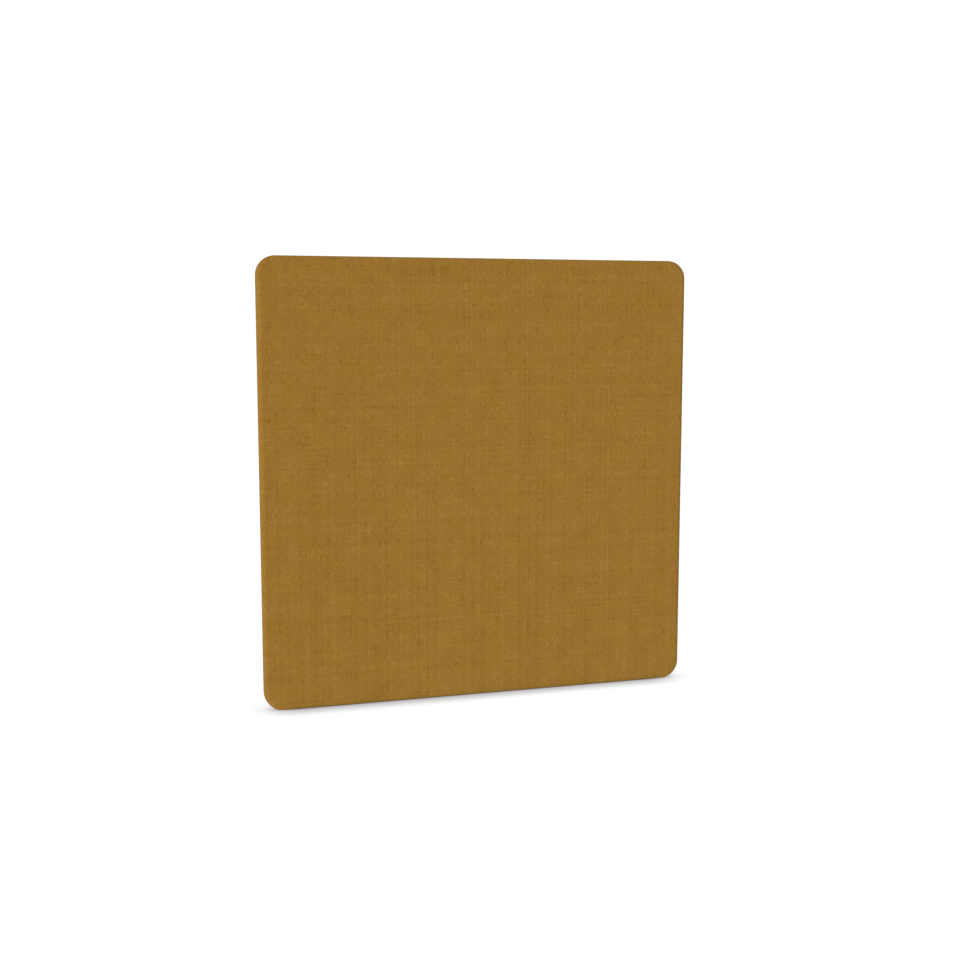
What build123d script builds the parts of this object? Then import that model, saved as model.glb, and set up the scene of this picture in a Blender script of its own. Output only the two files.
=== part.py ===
from build123d import *
import os

# Upholstered acoustic divider screen: a timber frame with absorbing slabs in its bays,
# wrapped in foam and covered in woven cloth. It stands on its lower edge.
# The origin is at the centre of the underside, X runs along the screen, the front
# faces -Y and Z is up. All lengths are in millimetres.

# Outside of the finished screen
screen_width = 1200
screen_height = 1200
corner_radius = 50
edge_round = 8

# Cloth cover and foam
fabric_thickness = 0.8
cover_fit = 0.2
foam_thickness = 5

# Timber frame: two stiles, two rails, four corner blocks and a centre upright
frame_depth = 28
member_width = 60
upright_width = 45

# Boards that close the bays halfway through the frame, held in grooves
septum_thickness = 3
groove_depth = 8
board_fit = 0.2

# Absorbing slabs, two in each bay
slab_fit = 0.3

# Glued beech dowels across every joint of the frame
dowel_radius = 4
dowel_length = 36
dowel_fit = 0.1
dowel_end_gap = 1
dowel_wall = 2
corner_dowel_spacing = 14
upright_dowel_spacing = 16

# Rebate under the bottom rail, where the cover is tucked in, stapled and closed
rebate_width = 16
rebate_depth = 4
rebate_end_margin = 20
tail_gap = 0.5
strip_fit = 0.2
strip_recess = 0.2

# Staples that hold the cover's tails
staple_crown = 10
staple_leg = 8
staple_wire = 0.7
staple_wire_width = 1.2
staple_pitch = 60
staple_row_offset = 4.5
staple_margin = 2
staple_fit = 0.1

# Threaded inserts for a pair of feet, two holes to a foot
foot_inset = 250
foot_hole_spacing = 64
insert_radius = 6.5
insert_thread_radius = 3.4
insert_length = 18
insert_fit = 0.05
bolt_clearance_radius = 4.5
bolt_room = 15

# Levelling glides, screwed fully in at rest
glide_inset = 130
stem_radius = 4
stem_length = 30
stem_tip_chamfer = 0.8
stem_running_fit = 0.05
sleeve_radius = 6
sleeve_length = 20
stem_room = 6
hex_across_flats = 13
hex_height = 4
hex_to_pad_gap = 0.3
hex_to_sleeve_gap = 0.5
neck_radius = 5
flange_radius = 7
flange_thickness = 1.8
flange_fit = 0.3
pad_radius = 10
pad_height = 4.5
pad_floor = 1.5
pad_lip = 0.9
pad_rim_round = 0.8
pad_fit = 0.3
cover_hole_fit = 0.6

# Every cut runs this far past the faces that it opens
overrun = 2

# Places worked out from the sizes above
screen_depth = frame_depth + 2 * (foam_thickness + cover_fit + fabric_thickness)
wrap_inset = fabric_thickness + cover_fit
frame_half_width = screen_width / 2 - wrap_inset
frame_bottom = wrap_inset
frame_top = screen_height - wrap_inset
bay_half_width = frame_half_width - member_width
bay_bottom = frame_bottom + member_width
bay_top = frame_top - member_width
dowel_hole_radius = dowel_radius + dowel_fit
corner_dowel_inset = dowel_length / 2 + dowel_end_gap + dowel_hole_radius + dowel_wall
rebate_half_length = bay_half_width - rebate_end_margin
rebate_ceiling = frame_bottom + rebate_depth
tail_half_width = rebate_width / 2 - cover_fit
tail_half_length = rebate_half_length - cover_fit
tail_top = rebate_ceiling - cover_fit
tail_underside = tail_top - fabric_thickness
strip_top = tail_underside - staple_wire - staple_fit
glide_x = screen_width / 2 - glide_inset
foot_x = screen_width / 2 - foot_inset
foot_hole_xs = [
    side * foot_x + offset
    for side in (-1, 1)
    for offset in (-foot_hole_spacing / 2, foot_hole_spacing / 2)
]
hex_bottom = pad_height + hex_to_pad_gap
hex_top = hex_bottom + hex_height
counterbore_top = hex_top + hex_to_sleeve_gap
pad_hole_radius = pad_radius + cover_hole_fit


def block(x_range, y_range, z_range):
    """A box between three pairs of coordinates."""
    ranges = (x_range, y_range, z_range)
    middle = [(low + high) / 2 for low, high in ranges]
    size = [high - low for low, high in ranges]
    return Pos(*middle) * Box(*size)


def upright_cylinder(x, radius, low, high):
    """A cylinder on a vertical axis in the screen's middle plane."""
    return Pos(x, 0, (low + high) / 2) * Cylinder(radius, high - low)


def rounded_slab(inset):
    """The outer shape of the whole screen, drawn in by inset on every side."""
    outline = RectangleRounded(
        screen_width - 2 * inset, screen_height - 2 * inset, corner_radius - inset
    )
    slab = extrude(Plane.XZ * outline, screen_depth / 2 - inset, both=True)
    rims = slab.faces().filter_by(Axis.Y).edges()
    return Pos(0, 0, screen_height / 2) * fillet(rims, edge_round - inset)


def side_of(sign, inner=0):
    """The Y range from a distance off the middle plane to past the outer face."""
    far = screen_depth / 2 + overrun
    return sorted((sign * inner, sign * far))


def bay_box(side, grow, half_thickness):
    """A box over one bay of the frame, grown into the members round it."""
    inner = upright_width / 2 - grow
    outer = bay_half_width + grow
    x_range = sorted((side * inner, side * outer))
    return block(
        x_range, (-half_thickness, half_thickness), (bay_bottom - grow, bay_top + grow)
    )


def frame_dowels(radius=dowel_radius, length=dowel_length):
    """All dowels of the frame, or with the holes' radius and length the holes for them.

    The corner dowels start far enough from the frame's inner corner for the upright
    pair and the level pair in one corner block to pass each other.
    """
    upright, level = Cylinder(radius, length), Rot(0, 90, 0) * Cylinder(radius, length)
    insets = (corner_dowel_inset, corner_dowel_inset + corner_dowel_spacing)
    dowels = []
    for outwards, joint_z in ((-1, bay_bottom), (1, bay_top)):
        for offset in (-upright_dowel_spacing / 2, upright_dowel_spacing / 2):
            dowels.append(Pos(offset, 0, joint_z) * upright)
        for side in (-1, 1):
            for inset in insets:
                stile_x = side * (bay_half_width + inset)
                rail_z = joint_z + outwards * inset
                dowels.append(Pos(stile_x, 0, joint_z) * upright)
                dowels.append(Pos(side * bay_half_width, 0, rail_z) * level)
    return dowels


def staple_places():
    """Where the staples of one row go: evenly along the rebate, clear of the holes."""
    holes = [(x, bolt_clearance_radius) for x in foot_hole_xs]
    holes += [(side * glide_x, pad_hole_radius) for side in (-1, 1)]
    count = int((2 * tail_half_length - staple_crown) / staple_pitch) + 1
    places = [(i - (count - 1) / 2) * staple_pitch for i in range(count)]
    reach = staple_crown / 2 + staple_margin
    return [x for x in places if all(abs(x - at) > radius + reach for at, radius in holes)]


def staple(x, y):
    """One staple: its crown under the cloth and two legs up into the rail."""
    half_wire = staple_wire_width / 2
    y_range = (y - half_wire, y + half_wire)
    left, right = x - staple_crown / 2, x + staple_crown / 2
    shape = block((left, right), y_range, (tail_underside - staple_wire, tail_underside))
    for low, high in ((left, left + staple_wire), (right - staple_wire, right)):
        leg = (tail_underside - staple_wire, tail_underside + staple_leg)
        shape += block((low, high), y_range, leg)
    return shape


def cover_holes(bottom, top):
    """The round holes through cloth and strip, for the pads and for the feet's bolts."""
    holes = [upright_cylinder(x, bolt_clearance_radius, bottom, top) for x in foot_hole_xs]
    for side in (-1, 1):
        holes.append(upright_cylinder(side * glide_x, pad_hole_radius, bottom, top))
    return holes


def half_cover(sign, shell, staples):
    """One half of the cover, with its tail turned up into the rebate."""
    tail_y = sorted((sign * tail_gap / 2, sign * tail_half_width))
    wall_y = sorted((sign * (tail_half_width - fabric_thickness), sign * tail_half_width))
    along = (-tail_half_length, tail_half_length)
    mouth_y = (-tail_half_width, tail_half_width)
    half = shell & block(
        (-screen_width, screen_width), side_of(sign), (-overrun, screen_height + overrun)
    )
    half -= block(along, mouth_y, (-overrun, fabric_thickness + overrun))
    half += block(along, wall_y, (0, tail_top))
    half += block(along, tail_y, (tail_underside, tail_top))
    return half - cover_holes(-overrun, tail_top + overrun) - staples


def glide_stem(x):
    """The steel stem of a glide: flange, neck, hexagon and threaded shank."""
    flange_top = pad_floor + flange_thickness
    hexagon = extrude(
        RegularPolygon(hex_across_flats / 2, 6, major_radius=False), hex_height
    )
    shank = Cylinder(stem_radius, stem_length)
    shank = chamfer(shank.edges().sort_by(Axis.Z)[-1], stem_tip_chamfer)
    stem = upright_cylinder(x, flange_radius, pad_floor, flange_top)
    stem += upright_cylinder(x, neck_radius, flange_top, hex_bottom)
    stem += Pos(x, 0, hex_bottom) * hexagon
    return stem + Pos(x, 0, hex_top + stem_length / 2) * shank


def glide_pad(x):
    """The moulded pad that snaps over the stem's flange."""
    pad = Cylinder(pad_radius, pad_height)
    pad = fillet(pad.edges().sort_by(Axis.Z)[0], pad_rim_round)
    pad = Pos(x, 0, pad_height / 2) * pad
    lip_bottom = pad_height - pad_lip
    pad -= upright_cylinder(x, flange_radius + flange_fit, pad_floor, lip_bottom)
    lip_radius = neck_radius + flange_fit
    return pad - upright_cylinder(x, lip_radius, lip_bottom, pad_height + overrun)


def bottom_rail_cuts():
    """Rebate, glide bores and insert bores under the bottom rail."""
    half_rebate = rebate_width / 2
    along = (-rebate_half_length, rebate_half_length)
    cuts = [block(along, (-half_rebate, half_rebate), (0, rebate_ceiling))]
    sleeve_top = counterbore_top + sleeve_length
    stem_top = hex_top + stem_length
    for side in (-1, 1):
        x = side * glide_x
        cuts.append(upright_cylinder(x, pad_radius + pad_fit, 0, counterbore_top))
        cuts.append(
            upright_cylinder(x, sleeve_radius + insert_fit, counterbore_top, sleeve_top)
        )
        bore_radius = stem_radius + pad_fit
        cuts.append(upright_cylinder(x, bore_radius, sleeve_top, stem_top + stem_room))
    for x in foot_hole_xs:
        insert_top = rebate_ceiling + insert_length
        cuts.append(
            upright_cylinder(x, insert_radius + insert_fit, rebate_ceiling, insert_top)
        )
        room_top = insert_top + bolt_room
        cuts.append(upright_cylinder(x, bolt_clearance_radius, insert_top, room_top))
    return cuts


def frame_members(wrap):
    """The frame's nine timbers, their outer arrises eased to the foam's round edge."""
    depth = (-frame_depth / 2, frame_depth / 2)
    left_right = {"left": -1, "right": 1}
    low_high = {
        "bottom": (frame_bottom, bay_bottom),
        "top": (bay_top, frame_top),
    }
    members = {}
    for name, side in left_right.items():
        x_range = sorted((side * bay_half_width, side * frame_half_width))
        members[f"{name}_stile"] = block(x_range, depth, (bay_bottom, bay_top))
        for level, z_range in low_high.items():
            members[f"{level}_{name}_corner_block"] = block(x_range, depth, z_range)
    for level, z_range in low_high.items():
        x_range = (-bay_half_width, bay_half_width)
        members[f"{level}_rail"] = block(x_range, depth, z_range)
    half_upright = upright_width / 2
    members["centre_upright"] = block(
        (-half_upright, half_upright), depth, (bay_bottom, bay_top)
    )
    half_groove = septum_thickness / 2 + board_fit
    cuts = [bay_box(side, groove_depth, half_groove) for side in (-1, 1)]
    cuts += frame_dowels(dowel_hole_radius, dowel_length + 2 * dowel_end_gap)
    return {name: (member & wrap) - cuts for name, member in members.items()}


def bay_fillings():
    """A thin board and two absorbing slabs for each bay."""
    fillings = {}
    half_board = septum_thickness / 2
    for name, side in (("left", -1), ("right", 1)):
        fillings[f"{name}_septum"] = bay_box(side, groove_depth - board_fit, half_board)
        slab_box = bay_box(side, -slab_fit, frame_depth / 2 - slab_fit)
        for face, sign in (("front", -1), ("back", 1)):
            reach = block(
                (-screen_width, screen_width),
                side_of(sign, half_board + slab_fit),
                (-overrun, screen_height + overrun),
            )
            fillings[f"{face}_{name}_absorber"] = slab_box & reach
    return fillings


def foam_sheet(sign, wrap):
    """A foam sheet over one face of the frame, its edge trimmed round."""
    reach = block(
        (-screen_width, screen_width),
        side_of(sign, frame_depth / 2),
        (-overrun, screen_height + overrun),
    )
    return wrap & reach


def tube(x, outer_radius, inner_radius, low, high):
    """A plain sleeve or insert on a vertical axis."""
    bore = upright_cylinder(x, inner_radius, low - overrun, high + overrun)
    return upright_cylinder(x, outer_radius, low, high) - bore


def build_parts():
    """Every node of the screen, by name, as a list of solids."""
    wrap = rounded_slab(wrap_inset)
    shell = rounded_slab(0) - rounded_slab(fabric_thickness)
    staples = [
        staple(x, row)
        for row in (-staple_row_offset, staple_row_offset)
        for x in staple_places()
    ]
    parts = frame_members(wrap)
    parts["bottom_rail"] -= bottom_rail_cuts() + staples
    parts |= bay_fillings()
    parts["front_foam"] = foam_sheet(-1, wrap)
    parts["back_foam"] = foam_sheet(1, wrap)
    parts["front_cover"] = half_cover(-1, shell, staples)
    parts["back_cover"] = half_cover(1, shell, staples)
    strip_half_width = tail_half_width - fabric_thickness - strip_fit
    strip = block(
        (-tail_half_length, tail_half_length),
        (-strip_half_width, strip_half_width),
        (strip_recess, strip_top),
    )
    parts["closing_strip"] = strip - cover_holes(-overrun, strip_top + overrun)
    insert_top = rebate_ceiling + insert_length
    sleeve_top = counterbore_top + sleeve_length
    groups = {
        "frame_dowels": frame_dowels(),
        "cover_staples": staples,
        "foot_inserts": [
            tube(x, insert_radius, insert_thread_radius, rebate_ceiling, insert_top)
            for x in foot_hole_xs
        ],
        "glide_sleeves": [
            tube(
                side * glide_x,
                sleeve_radius,
                stem_radius + stem_running_fit,
                counterbore_top,
                sleeve_top,
            )
            for side in (-1, 1)
        ],
    }
    for name, side in (("left", -1), ("right", 1)):
        parts[f"{name}_glide_stem"] = glide_stem(side * glide_x)
        parts[f"{name}_glide_pad"] = glide_pad(side * glide_x)
    nodes = {name: shape.solids() for name, shape in parts.items()}
    for name, shapes in groups.items():
        nodes[name] = [solid for shape in shapes for solid in shape.solids()]
    return nodes


os.makedirs("parts", exist_ok=True)
for node, solids in build_parts().items():
    shape = solids[0] if len(solids) == 1 else Compound(children=list(solids))
    export_step(shape, f"parts/{node}.step")
    print(node, len(solids))
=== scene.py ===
import math

import bpy
import numpy as np
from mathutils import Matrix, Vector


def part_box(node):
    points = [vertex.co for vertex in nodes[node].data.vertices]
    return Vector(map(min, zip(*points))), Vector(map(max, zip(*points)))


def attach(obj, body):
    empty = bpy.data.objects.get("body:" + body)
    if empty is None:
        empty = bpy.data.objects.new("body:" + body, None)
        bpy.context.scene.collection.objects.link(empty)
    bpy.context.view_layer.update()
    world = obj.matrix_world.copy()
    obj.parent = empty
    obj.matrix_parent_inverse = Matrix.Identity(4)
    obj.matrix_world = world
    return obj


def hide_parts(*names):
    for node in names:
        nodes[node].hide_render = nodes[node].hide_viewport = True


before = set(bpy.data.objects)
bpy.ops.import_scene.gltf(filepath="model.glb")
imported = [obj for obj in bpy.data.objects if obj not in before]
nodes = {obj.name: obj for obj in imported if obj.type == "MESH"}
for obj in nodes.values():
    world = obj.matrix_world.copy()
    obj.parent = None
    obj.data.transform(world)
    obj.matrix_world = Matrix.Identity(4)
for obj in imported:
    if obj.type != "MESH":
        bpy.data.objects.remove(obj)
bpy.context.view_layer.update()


# ---- Timber frame ----
# Stiles, rails, corner blocks and the centre upright: planed pine, glued and dowelled.
# The grain runs along each member, so the rails and the uprights have their own wood.
# The CAD solids have the right shape and stay.

def linear(hex_colour):
    """An sRGB hex colour as the linear RGBA that a shader takes."""
    channels = np.array([int(hex_colour[i:i + 2], 16) / 255 for i in (1, 3, 5)])
    low, high = channels / 12.92, ((channels + 0.055) / 1.055) ** 2.4
    return [*np.where(channels <= 0.04045, low, high), 1.0]


def add(tree, kind, inputs=None, **settings):
    """Adds one shader node with its settings, and links or sets its inputs."""
    node = tree.nodes.new("ShaderNode" + kind)
    for name, value in settings.items():
        setattr(node, name, value)
    for name, value in (inputs or {}).items():
        if isinstance(value, bpy.types.NodeSocket):
            tree.links.new(value, node.inputs[name])
        else:
            node.inputs[name].default_value = value
    return node


def new_material(name):
    """An empty node material with its output, as (material, tree, surface socket)."""
    material = bpy.data.materials.new(name)
    material.use_nodes = True
    material.node_tree.nodes.clear()
    output = add(material.node_tree, "OutputMaterial")
    return material, material.node_tree, output.inputs["Surface"]


def dress(node_names, material):
    """Gives carried-over CAD nodes a procedural material."""
    for name in node_names:
        for slot in nodes[name].material_slots:
            slot.link = "OBJECT"
            slot.material = material


def planed_pine(name, along_z):
    """Planed pine. The growth rings are nested cylinders round a pith that lies 70 mm
    outside the wood, stretched along the grain, so a flat face cuts them into long
    arches. Earlywood is pale and wide, latewood a narrow amber line. Fibres 0.6 mm wide
    and 70 mm long run along the grain, and a planed face has a low satin gloss."""
    ring_spacing, pith_offset, fibre_width = 0.0045, 0.07, 0.0006
    along_grain, wander = 0.05, 0.018
    material, tree, surface = new_material(name)
    place = add(tree, "TexCoord").outputs["Object"]
    stretch = [1, 1, along_grain] if along_z else [along_grain, 1, 1]
    shift = [0, pith_offset, 0]
    grain = add(tree, "Mapping", {"Vector": place, "Location": shift, "Scale": stretch})
    drift = add(tree, "TexNoise", {"Vector": grain.outputs[0], "Scale": 14, "Detail": 3})
    moved = add(
        tree, "VectorMath", {0: drift.outputs["Color"], "Scale": wander}, operation="SCALE"
    )
    rings_at = add(tree, "VectorMath", {0: grain.outputs[0], 1: moved.outputs[0]})
    # a wave texture of scale 1 repeats every pi / 10
    rings = add(
        tree, "TexWave",
        {"Vector": rings_at.outputs[0], "Scale": math.pi / 10 / ring_spacing},
        wave_type="RINGS", rings_direction="Z" if along_z else "X", wave_profile="SAW",
    )
    late = add(tree, "MapRange", {0: rings.outputs["Fac"], 1: 0.55, 2: 1.0, 3: 0.0, 4: 0.8})
    wood = add(
        tree, "Mix",
        {0: late.outputs[0], 6: linear("#DCBD88"), 7: linear("#B98A4E")},
        data_type="RGBA",
    )
    dense, sparse = 1 / fibre_width, 14
    thin = [dense, dense, sparse] if along_z else [sparse, dense, dense]
    fibre_at = add(tree, "Mapping", {"Vector": place, "Scale": thin})
    fibres = add(tree, "TexNoise", {"Vector": fibre_at.outputs[0], "Scale": 1, "Detail": 2})
    shade = add(tree, "MapRange", {0: fibres.outputs["Fac"], 1: 0.3, 2: 0.7, 3: 0.93, 4: 1.05})
    colour = add(
        tree, "Mix", {0: 1.0, 6: wood.outputs[2], 7: shade.outputs[0]},
        data_type="RGBA", blend_type="MULTIPLY",
    )
    relief = add(
        tree, "Bump",
        {"Height": fibres.outputs["Fac"], "Strength": 0.25, "Distance": 0.0002},
    )
    gloss = add(tree, "MapRange", {0: late.outputs[0], 3: 0.52, 4: 0.42})
    shader = add(
        tree, "BsdfPrincipled",
        {"Base Color": colour.outputs[2], "Roughness": gloss.outputs[0], "IOR": 1.53,
         "Normal": relief.outputs[0]},
    )
    tree.links.new(shader.outputs[0], surface)
    return material


upright_pine = planed_pine("planed_pine_upright", along_z=True)
level_pine = planed_pine("planed_pine_level", along_z=False)
corner_blocks = [
    f"{row}_{side}_corner_block"
    for row in ("top", "bottom") for side in ("left", "right")
]
dress(["left_stile", "right_stile", "centre_upright", *corner_blocks], upright_pine)
dress(["top_rail", "bottom_rail"], level_pine)


# ---- Dowels ----
# Turned beech dowels, glued across the frame's joints. Beech is even and pink-brown,
# with short dark flecks about a millimetre long.

def turned_beech():
    """Beech: an even warm ground with flecks of 1.1 mm, and a dry, barely glossy
    surface. Here as elsewhere, a noise of scale S has features of about 1 / S metres."""
    material, tree, surface = new_material("turned_beech")
    place = add(tree, "TexCoord").outputs["Object"]
    flecks = add(tree, "TexNoise", {"Vector": place, "Scale": 900, "Detail": 3, "Roughness": 0.7})
    share = add(tree, "MapRange", {0: flecks.outputs["Fac"], 1: 0.5, 2: 0.72})
    colour = add(
        tree, "Mix", {0: share.outputs[0], 6: linear("#C99F6D"), 7: linear("#9E7444")},
        data_type="RGBA",
    )
    relief = add(
        tree, "Bump",
        {"Height": flecks.outputs["Fac"], "Strength": 0.2, "Distance": 0.0001},
    )
    shader = add(
        tree, "BsdfPrincipled",
        {"Base Color": colour.outputs[2], "Roughness": 0.6, "IOR": 1.53,
         "Normal": relief.outputs[0]},
    )
    tree.links.new(shader.outputs[0], surface)
    return material


dress(["frame_dowels"], turned_beech())


# ---- Boards in the bays ----
# Hardboard 3 mm thick, slid into grooves in the frame. Pressed wood fibre is dark
# brown, with matted fibres a few millimetres long and a smooth, waxy face.

def pressed_hardboard():
    """Hardboard: fibres 2.4 mm long and finer, matted together, in dark and lighter
    brown, and a face smooth enough for a soft shine."""
    material, tree, surface = new_material("pressed_hardboard")
    place = add(tree, "TexCoord").outputs["Object"]
    mat = add(
        tree, "TexNoise",
        {"Vector": place, "Scale": 420, "Detail": 5, "Roughness": 0.65, "Distortion": 1.4},
    )
    share = add(tree, "MapRange", {0: mat.outputs["Fac"], 1: 0.35, 2: 0.68})
    colour = add(
        tree, "Mix", {0: share.outputs[0], 6: linear("#6A4730"), 7: linear("#8B6242")},
        data_type="RGBA",
    )
    relief = add(
        tree, "Bump",
        {"Height": mat.outputs["Fac"], "Strength": 0.15, "Distance": 0.0002},
    )
    shader = add(
        tree, "BsdfPrincipled",
        {"Base Color": colour.outputs[2], "Roughness": 0.45, "IOR": 1.5,
         "Normal": relief.outputs[0]},
    )
    tree.links.new(shader.outputs[0], surface)
    return material


dress(["left_septum", "right_septum"], pressed_hardboard())


# ---- Absorbers ----
# Four slabs of grey polyester felt, 12 mm thick, cut with a knife and pushed into the
# bays on both sides of the boards. The faces are a little uneven and the arrises soft.

def rim_path(half_width, low, high, radius, step, arc_steps):
    """The core of a rounded rectangle and its outward normals, in the XZ plane.

    The core is the rectangle drawn in by the corner radius: a straight run goes along
    each of its sides, and at each of its corners the point stays while the normal turns
    by a quarter. So core + r * normal is the outline at r = radius, and a smaller
    outline with concentric corners at a smaller r."""
    across, middle = half_width - radius, (low + high) / 2
    up = (high - low) / 2 - radius
    core, normal = [], []
    for turn in range(4):
        angle = -math.pi / 2 + turn * math.pi / 2
        out = np.array([math.cos(angle), math.sin(angle)])
        along = np.array([-out[1], out[0]])
        run, side = (across, up) if turn % 2 == 0 else (up, across)
        steps = max(2, round(2 * run / step))
        places = np.linspace(-run, run, steps, endpoint=False)
        core.append(out * side + along * places[:, None])
        normal.append(np.tile(out, (steps, 1)))
        bend = angle + np.linspace(0, math.pi / 2, arc_steps, endpoint=False)
        core.append(np.tile(out * side + along * run, (arc_steps, 1)))
        normal.append(np.stack([np.cos(bend), np.sin(bend)], 1))
    return np.concatenate(core) + [0, middle], np.concatenate(normal)


def carried(core, normal, reach, depth):
    """A profile carried round a path: row i, column j is core_j + reach_ij * normal_j
    in X and Z, at depth_ij in Y."""
    shape = np.broadcast_shapes(np.shape(reach), np.shape(depth), (1, len(core)))
    reach, depth = np.broadcast_to(reach, shape), np.broadcast_to(depth, shape)
    flat = core + reach[..., None] * normal
    return np.stack([flat[..., 0], depth, flat[..., 1]], -1)


def shrunk(row, shares):
    """Copies of a ring, each drawn towards the ring's centre to a share of its size."""
    centre = (row.min(0) + row.max(0)) / 2
    return centre + np.asarray(shares)[:, None, None] * (row - centre)


def ring_quads(count, columns, joined=False):
    """Quads between neighbouring rings of points, and from the last to the first ring
    where the rings are joined into a loop."""
    here = np.arange(columns)
    first = np.arange(count if joined else count - 1)[:, None] * columns
    then = (first + columns) % (count * columns)
    corners = [first + here, first + np.roll(here, -1), then + np.roll(here, -1), then + here]
    return np.stack(corners, -1).reshape(-1, 4)


def piece_from(name, points, groups, uv=None):
    """A smooth mesh object from points and groups of faces with equal corner counts.

    The faces are turned to point outwards by the sign of the enclosed volume: the sum
    of a . (b x c) over the triangles that fan out from each face's first corner."""
    volume = sum(
        (points[g[:, 0]] * np.cross(points[g[:, i]], points[g[:, i + 1]])).sum()
        for g in groups for i in range(1, g.shape[1] - 1)
    )
    faces = [face for g in groups for face in (g if volume > 0 else g[:, ::-1]).tolist()]
    mesh = bpy.data.meshes.new(name)
    mesh.from_pydata(points.tolist(), [], faces)
    mesh.polygons.foreach_set("use_smooth", np.ones(len(faces), bool))
    if uv is not None:
        corners = np.zeros(len(mesh.loops), np.int32)
        mesh.loops.foreach_get("vertex_index", corners)
        mesh.uv_layers.new(name="cloth").data.foreach_set("uv", uv[corners].ravel())
    mesh.update()
    piece = bpy.data.objects.new(name, mesh)
    bpy.context.scene.collection.objects.link(piece)
    return piece


def closed_piece(name, rows, uv=None):
    """A closed mesh from rings of points: quads join neighbouring rings, and a fan of
    triangles closes both end rings at a pole in their middle."""
    count, columns = rows.shape[:2]
    poles = [(rows[i].min(0) + rows[i].max(0)) / 2 for i in (0, -1)]
    points = np.concatenate([rows.reshape(-1, 3), poles])
    here = np.arange(columns)
    after, last = np.roll(here, -1), (count - 1) * columns
    start_fan = np.stack([np.full(columns, count * columns), after, here], -1)
    end_fan = np.stack([np.full(columns, count * columns + 1), last + here, last + after], -1)
    if uv is not None:
        uv = np.concatenate([uv.reshape(-1, 2), [uv[0].mean(0), uv[-1].mean(0)]])
    return piece_from(name, points, [ring_quads(count, columns), start_fan, end_fan], uv)


def needled_felt(name, dark, pale):
    """Needle-punched polyester felt: matted dark and pale fibres, a millimetre or two
    long, and a fully matt, fuzzy face that brightens a little at a grazing angle."""
    material, tree, surface = new_material(name)
    place = add(tree, "TexCoord").outputs["Object"]
    fibres = add(
        tree, "TexNoise",
        {"Vector": place, "Scale": 700, "Detail": 4, "Roughness": 0.75, "Distortion": 2.0},
    )
    clumps = add(tree, "TexNoise", {"Vector": place, "Scale": 45, "Detail": 2})
    share = add(tree, "MapRange", {0: fibres.outputs["Fac"], 1: 0.32, 2: 0.7})
    tone = add(
        tree, "Mix", {0: share.outputs[0], 6: linear(dark), 7: linear(pale)},
        data_type="RGBA",
    )
    patch = add(tree, "MapRange", {0: clumps.outputs["Fac"], 1: 0.3, 2: 0.7, 3: 0.92, 4: 1.06})
    colour = add(
        tree, "Mix", {0: 1.0, 6: tone.outputs[2], 7: patch.outputs[0]},
        data_type="RGBA", blend_type="MULTIPLY",
    )
    relief = add(
        tree, "Bump",
        {"Height": fibres.outputs["Fac"], "Strength": 0.5, "Distance": 0.0005},
    )
    shader = add(
        tree, "BsdfPrincipled",
        {"Base Color": colour.outputs[2], "Roughness": 0.95, "Sheen Weight": 0.2,
         "Sheen Roughness": 0.5, "Normal": relief.outputs[0]},
    )
    tree.links.new(shader.outputs[0], surface)
    return material


def felt_slab(name, low, high, seed):
    """A slab with soft arrises of 1.2 mm radius, whose faces rise and fall by 0.3 mm.

    Its profile is a quarter circle at each arris. The unevenness is a sum of three
    plane waves, 90 to 160 mm long, that dent both faces inwards and leave the arrises."""
    arris, corner_radius, unevenness = 0.0012, 0.003, 0.0003
    step, arc_steps, waves = 0.02, 4, 3
    draw = np.random.default_rng(seed)
    core, normal = rim_path(
        (high[0] - low[0]) / 2, low[2], high[2], corner_radius, step, arc_steps
    )
    core = core + [(low[0] + high[0]) / 2, 0]
    bend = np.linspace(0, math.pi / 2, arc_steps)
    reach = (corner_radius - arris + arris * np.sin(bend))[:, None]
    fall = (arris * (1 - np.cos(bend)))[:, None]
    front = carried(core, normal, reach, low[1] + fall)
    back = carried(core, normal, reach[::-1], high[1] - fall[::-1])
    shares = np.linspace(0.04, 0.98, 20)
    rows = np.concatenate([shrunk(front[0], shares), front, back, shrunk(back[-1], shares[::-1])])
    dent = np.zeros(rows.shape[:2])
    for _ in range(waves):
        heading, length = draw.uniform(0, math.pi), draw.uniform(0.09, 0.16)
        phase = draw.uniform(0, 6)
        across = rows[..., 0] * math.cos(heading) + rows[..., 2] * math.sin(heading)
        dent += unevenness / waves * (1 + np.sin(2 * math.pi * across / length + phase))
    rows[: len(shares), :, 1] += dent[: len(shares)]
    rows[-len(shares):, :, 1] -= dent[-len(shares):]
    return closed_piece(name, rows)


felt = needled_felt("needled_grey_felt", "#727477", "#A5A7A9")
for index, corner in enumerate(("front_left", "front_right", "back_left", "back_right")):
    slab_low, slab_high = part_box(f"{corner}_absorber")
    slab = felt_slab(f"felt_slab_{corner}", slab_low, slab_high, seed=index)
    slab.data.materials.append(felt)
    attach(slab, "panel")
    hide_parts(f"{corner}_absorber")


# ---- Foam sheets ----
# A 5 mm sheet of cream polyurethane foam glued over each side of the frame. Its edge is
# trimmed round, so it rounds the edge of the cloth over it.

# the whole panel: half its width, its height, half its thickness and its corners' radius
half_panel, panel_height, half_depth, panel_radius = 0.6, 1.2, 0.020, 0.050


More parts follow.
